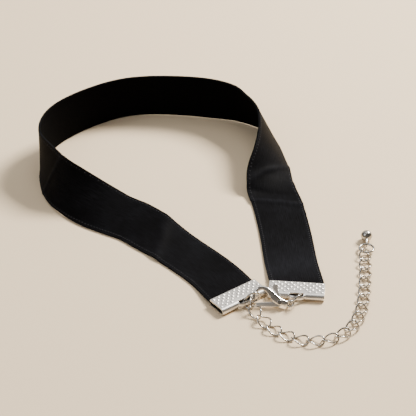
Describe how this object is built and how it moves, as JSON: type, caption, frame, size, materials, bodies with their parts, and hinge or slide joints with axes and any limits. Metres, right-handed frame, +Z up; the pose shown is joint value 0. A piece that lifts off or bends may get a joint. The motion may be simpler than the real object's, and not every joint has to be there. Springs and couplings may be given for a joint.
{
  "type": "choker necklace",
  "caption": "Black ribbon choker lying fastened on a surface, with folded metal ends, a lobster clasp and an extender chain that ends in a ball.",
  "frame": {"origin": "centre of the bounding box, on the surface that the choker lies on", "axes": "+Z up, +Y from the clasp towards the back of the ribbon's loop, +X to the picture's right"},
  "size_m": [0.0994, 0.1178, 0.015],
  "materials": {
    "black_ribbon": "black woven ribbon, matt inside, soft sheen outside",
    "silver_plate": "silver-coloured plating on cast or folded metal",
    "bright_steel": "bright polished wire"
  },
  "bodies": {
    "choker": {"ribbon": "black_ribbon", "crimp_left": "silver_plate", "crimp_right": "silver_plate", "jump_ring_left": "bright_steel", "jump_ring_right": "bright_steel", "clasp_body": "silver_plate", "clasp_pin": "bright_steel", "link_01": "bright_steel", "link_02": "bright_steel", "link_03": "bright_steel", "link_04": "bright_steel", "link_05": "bright_steel", "link_06": "bright_steel", "link_07": "bright_steel", "link_08": "bright_steel", "link_09": "bright_steel", "link_10": "bright_steel", "link_11": "bright_steel", "link_12": "bright_steel", "link_13": "bright_steel", "link_14": "bright_steel", "link_15": "bright_steel", "link_16": "bright_steel", "link_17": "bright_steel", "link_18": "bright_steel", "end_ring": "bright_steel", "ball_drop": "bright_steel"},
    "lever": {"clasp_lever": "bright_steel"}
  },
  "joints": [
    {"name": "lever_hinge", "type": "hinge", "parent": "choker", "child": "lever", "pos_m": [0.02157, -0.04162, 0.00162], "axis": [0.0534, 0.7642, -0.6428], "range_deg": [0, 16], "stiffness_Nm_per_rad": 0.0002, "springref_deg": -11.46}
  ]
}
